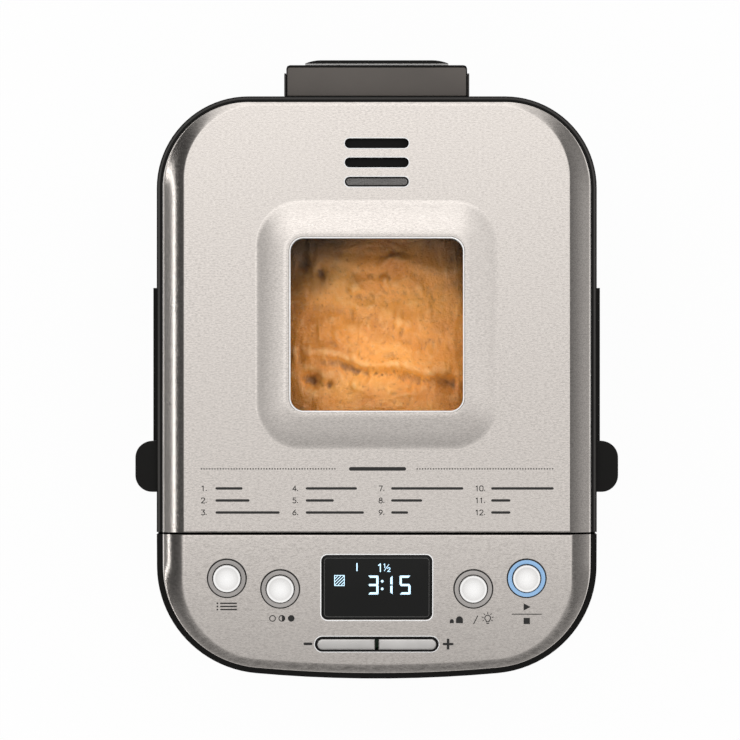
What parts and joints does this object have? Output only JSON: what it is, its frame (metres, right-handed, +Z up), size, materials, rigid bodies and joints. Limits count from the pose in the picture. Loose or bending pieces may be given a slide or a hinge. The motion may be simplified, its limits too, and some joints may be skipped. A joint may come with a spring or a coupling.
{
  "type": "bread machine",
  "caption": "Countertop bread machine with a brushed steel body, hinged window lid, control panel, lift-out pan and belt-driven kneading paddle.",
  "frame": {"origin": "under the middle of the whole machine, hinge housing and lift tabs included, at the level its feet stand on", "axes": "+Z up, +Y towards the rear hinge, the control panel is at -Y, +X to the right of someone who faces the control panel"},
  "size_m": [0.29, 0.372, 0.304],
  "materials": {
    "brushed_cover": "fine horizontal brushing",
    "brushed_panel": "fine horizontal brushing",
    "brushed_wrap": "fine horizontal brushing",
    "black_plastic": "fine moulded texture",
    "dough": "soft dough, floured",
    "hinge_plastic": "satin",
    "foot_rubber": "matt",
    "seal_rubber": "matt silicone",
    "belt_rubber": "matt",
    "zinc_screw": "zinc plated",
    "display_black": "polished",
    "display_core": "matt",
    "circuit_board": "solder mask",
    "switch_plastic": "matt",
    "ring_grey": "satin paint",
    "ring_blue": "satin paint",
    "button_white": "pearl",
    "key_bezel_dark": "matt",
    "key_silver": "satin silver",
    "zinc_steel": "galvanised sheet",
    "liner_steel": "aluminised, satin",
    "lid_liner_metal": "satin",
    "element_sheath": "oxidised sheath",
    "ceramic_white": "glazed",
    "lamp_white": "matt",
    "clear_glass": "clear",
    "bearing_bronze": "machined",
    "bright_steel": "ground",
    "pulley_plastic": "moulded",
    "cast_alloy": "die cast",
    "motor_steel": "plated can",
    "non_stick": "non-stick coating",
    "bail_wire": "drawn wire"
  },
  "bodies": {
    "body": {"base_tray": "black_plastic", "rubber_feet": "foot_rubber", "base_screws": "zinc_screw", "side_panels": "brushed_wrap", "front_panel": "brushed_wrap", "rear_panel": "brushed_wrap", "carry_handles": "black_plastic", "deck": "black_plastic", "deck_screws": "zinc_screw", "control_fascia": "brushed_panel", "display_lens": "display_black", "display_module": "display_core", "control_board": "circuit_board", "key_switches": "switch_plastic", "button_rings": "ring_grey", "start_ring": "ring_blue", "key_bezel": "key_bezel_dark", "power_board": "circuit_board", "chassis_plate": "zinc_steel", "chamber_liner": "liner_steel", "heater_element": "element_sheath", "heater_clips": "liner_steel", "temperature_sensor": "ceramic_white", "thermal_fuse": "ceramic_white", "chamber_lamp": "lamp_white", "lamp_lens": "clear_glass", "drive_bearing": "bearing_bronze", "drive_belt": "belt_rubber", "motor": "motor_steel", "motor_bracket": "zinc_steel", "motor_screws": "zinc_screw", "start_capacitor": "ceramic_white", "cord_gland": "black_plastic", "hinge_bracket": "hinge_plastic", "hinge_pins": "bright_steel"},
    "lid": {"lid_frame": "black_plastic", "lift_tabs": "black_plastic", "lid_cover": "brushed_cover", "lid_liner": "lid_liner_metal", "lid_seal": "seal_rubber", "window_glass": "clear_glass", "window_gasket": "seal_rubber", "inner_pane": "clear_glass", "steam_mesh": "lid_liner_metal", "lid_screws": "zinc_screw"},
    "drive": {"drive_shaft": "bright_steel", "large_pulley": "pulley_plastic", "drive_dog": "cast_alloy"},
    "rotor": {"motor_shaft": "bright_steel", "motor_pulley": "pulley_plastic"},
    "pan": {"bread_pan": "non_stick", "pan_bush": "bearing_bronze", "dough": "dough"},
    "bail": {"pan_bail": "bail_wire"},
    "paddle": {"paddle_shaft": "bright_steel", "pan_coupler": "cast_alloy", "kneading_paddle": "non_stick"},
    "menu_button_cap": {"menu_button": "button_white"},
    "shade_button_cap": {"shade_button": "button_white"},
    "size_button_cap": {"size_button": "button_white"},
    "start_button_cap": {"start_button": "button_white"},
    "minus_key_cap": {"minus_key": "key_silver"},
    "plus_key_cap": {"plus_key": "key_silver"}
  },
  "joints": [
    {"name": "lid_hinge", "type": "hinge", "parent": "body", "child": "lid", "pos_m": [0, 0.1733, 0.277], "axis": [-1, 0, 0], "range_deg": [0, 85]},
    {"name": "drive_spin", "type": "hinge", "parent": "body", "child": "drive", "pos_m": [0, 0.027, 0], "axis": [0, 0, 1], "continuous": true},
    {"name": "motor_spin", "type": "hinge", "parent": "body", "child": "rotor", "pos_m": [0, -0.136, 0], "axis": [0, 0, 1], "continuous": true},
    {"name": "pan_lift", "type": "slide", "parent": "body", "child": "pan", "axis": [0, 0, 1], "range_m": [0, 0.012]},
    {"name": "paddle_spin", "type": "hinge", "parent": "pan", "child": "paddle", "pos_m": [0, 0.027, 0], "axis": [0, 0, 1], "continuous": true},
    {"name": "bail_swing", "type": "hinge", "parent": "pan", "child": "bail", "pos_m": [0, 0.027, 0.236], "axis": [-1, 0, 0], "range_deg": [0, 14]},
    {"name": "menu_button_press", "type": "slide", "parent": "body", "child": "menu_button_cap", "axis": [0, 0.1219, -0.9925], "range_m": [0, 0.0012], "stiffness_N_per_m": 500, "springref_m": -0.001},
    {"name": "shade_button_press", "type": "slide", "parent": "body", "child": "shade_button_cap", "axis": [0, 0.1219, -0.9925], "range_m": [0, 0.0012], "stiffness_N_per_m": 500, "springref_m": -0.001},
    {"name": "size_button_press", "type": "slide", "parent": "body", "child": "size_button_cap", "axis": [0, 0.1219, -0.9925], "range_m": [0, 0.0012], "stiffness_N_per_m": 500, "springref_m": -0.001},
    {"name": "start_button_press", "type": "slide", "parent": "body", "child": "start_button_cap", "axis": [0, 0.1219, -0.9925], "range_m": [0, 0.0012], "stiffness_N_per_m": 500, "springref_m": -0.001},
    {"name": "minus_key_press", "type": "slide", "parent": "body", "child": "minus_key_cap", "axis": [0, 0.1219, -0.9925], "range_m": [0, 0.0012], "stiffness_N_per_m": 500, "springref_m": -0.001},
    {"name": "plus_key_press", "type": "slide", "parent": "body", "child": "plus_key_cap", "axis": [0, 0.1219, -0.9925], "range_m": [0, 0.0012], "stiffness_N_per_m": 500, "springref_m": -0.001}
  ],
  "couplings": [
    {"joint": "paddle_spin", "follows": "drive_spin", "ratio": 1},
    {"joint": "motor_spin", "follows": "drive_spin", "ratio": 5}
  ]
}
